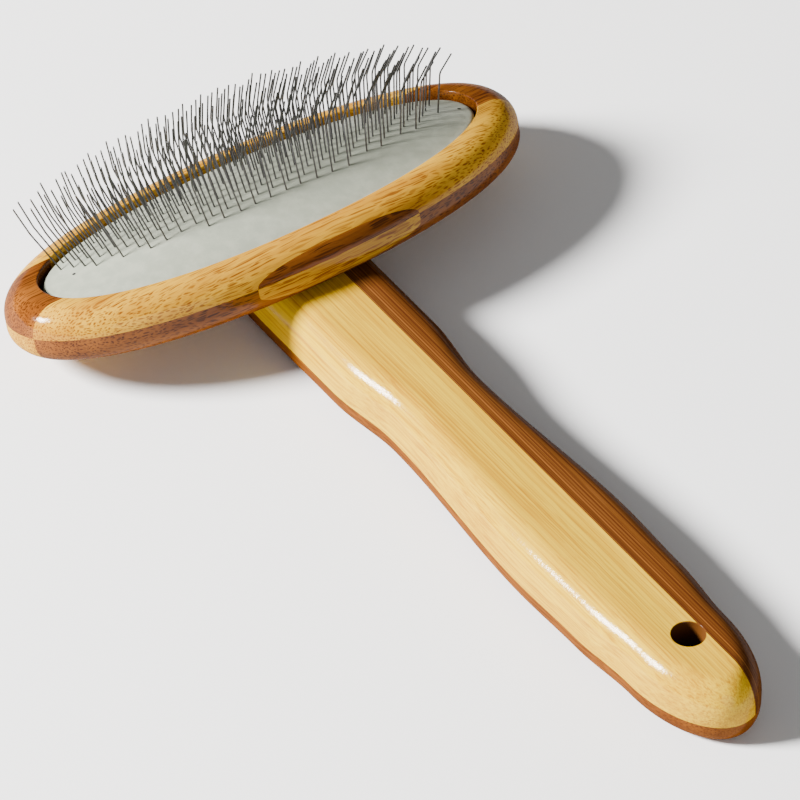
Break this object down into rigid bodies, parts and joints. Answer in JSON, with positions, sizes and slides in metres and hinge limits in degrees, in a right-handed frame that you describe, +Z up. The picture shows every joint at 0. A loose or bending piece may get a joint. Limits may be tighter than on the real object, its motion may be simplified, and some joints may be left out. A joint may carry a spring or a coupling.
{
  "type": "slicker brush",
  "caption": "Pet slicker brush: oval laminated bamboo head tilted on a straight contoured handle with a hanging hole, and a cushioned rubber pad of bent wire pins.",
  "frame": {"origin": "middle of the footprint on the rest plane, under the handle's flat underside", "axes": "+X along the oval head, +Y from the handle's tip towards the head, +Z up out of the pins' side; the brush lies on its back with the pins up"},
  "size_m": [0.114, 0.18, 0.035],
  "materials": {
    "bamboo_light": "glossy clear lacquer",
    "bamboo_dark": "glossy clear lacquer",
    "pad_rubber": "matte",
    "backing_cloth": "matte",
    "gasket_foam": "matte",
    "pin_wire": "satin",
    "screw_steel": "satin"
  },
  "bodies": {
    "brush": {"upper_front_light": "bamboo_light", "upper_back_light": "bamboo_light", "upper_left_dark": "bamboo_dark", "upper_right_dark": "bamboo_dark", "upper_cap_dark": "bamboo_dark", "lower_front_dark": "bamboo_dark", "lower_back_dark": "bamboo_dark", "lower_middle_light": "bamboo_light", "lower_cap_light": "bamboo_light", "handle_top_light": "bamboo_light", "handle_top_dark": "bamboo_dark", "handle_lower_dark": "bamboo_dark", "handle_screws": "screw_steel", "edge_gasket": "gasket_foam"},
    "pad": {"pad_face": "pad_rubber", "pad_backing": "backing_cloth", "pin_row_01": "pin_wire", "pin_row_02": "pin_wire", "pin_row_03": "pin_wire", "pin_row_04": "pin_wire", "pin_row_05": "pin_wire", "pin_row_06": "pin_wire", "pin_row_07": "pin_wire", "pin_row_08": "pin_wire", "pin_row_09": "pin_wire", "pin_row_10": "pin_wire", "pin_row_11": "pin_wire", "pin_row_12": "pin_wire"}
  },
  "joints": [
    {"name": "cushion_press", "type": "slide", "parent": "brush", "child": "pad", "axis": [0, -0.309, -0.9511], "range_m": [0, 0.002], "stiffness_N_per_m": 6000}
  ]
}
